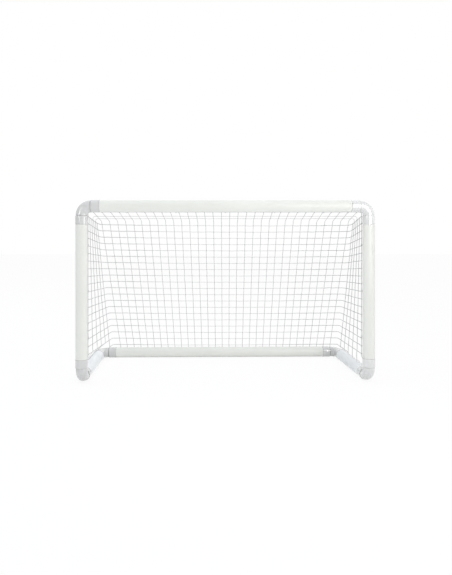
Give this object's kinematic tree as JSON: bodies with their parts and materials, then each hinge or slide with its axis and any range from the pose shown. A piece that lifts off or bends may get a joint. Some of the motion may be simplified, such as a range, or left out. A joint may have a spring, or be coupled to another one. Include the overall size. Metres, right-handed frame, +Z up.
{
  "type": "small football goal",
  "caption": "Free-standing goal of white plastic tube with a U-shaped ground frame, push-fit corner elbows and a sloping net hung inside on a border cord.",
  "frame": {"origin": "on the ground, under the middle of the bounding box", "axes": "+X along the crossbar, +Y from the mouth to the back, +Z up"},
  "size_m": [1.527, 0.6076, 0.915],
  "materials": {
    "tube_plastic": "satin",
    "elbow_plastic": "gloss",
    "hook_plastic": "moulded",
    "net_cord": "knotless netting",
    "border_cord": "braided cord"
  },
  "bodies": {
    "root": {"crossbar_tube": "tube_plastic", "left_post_tube": "tube_plastic", "right_post_tube": "tube_plastic", "left_side_tube": "tube_plastic", "right_side_tube": "tube_plastic", "rear_tube": "tube_plastic", "top_left_elbow": "elbow_plastic", "top_right_elbow": "elbow_plastic", "front_left_elbow": "elbow_plastic", "front_right_elbow": "elbow_plastic", "rear_left_elbow": "elbow_plastic", "rear_right_elbow": "elbow_plastic", "crossbar_net_hook_1": "hook_plastic", "crossbar_net_hook_2": "hook_plastic", "crossbar_net_hook_3": "hook_plastic", "crossbar_net_hook_4": "hook_plastic", "crossbar_net_hook_5": "hook_plastic", "left_post_net_hook_1": "hook_plastic", "left_post_net_hook_2": "hook_plastic", "left_post_net_hook_3": "hook_plastic", "right_post_net_hook_1": "hook_plastic", "right_post_net_hook_2": "hook_plastic", "right_post_net_hook_3": "hook_plastic", "left_side_net_hook_1": "hook_plastic", "left_side_net_hook_2": "hook_plastic", "right_side_net_hook_1": "hook_plastic", "right_side_net_hook_2": "hook_plastic", "rear_net_hook_1": "hook_plastic", "rear_net_hook_2": "hook_plastic", "rear_net_hook_3": "hook_plastic", "rear_net_hook_4": "hook_plastic", "rear_net_hook_5": "hook_plastic", "net_border_cord": "border_cord", "roof_net": "net_cord", "back_net": "net_cord", "left_side_net": "net_cord", "right_side_net": "net_cord"}
  },
  "joints": []
}
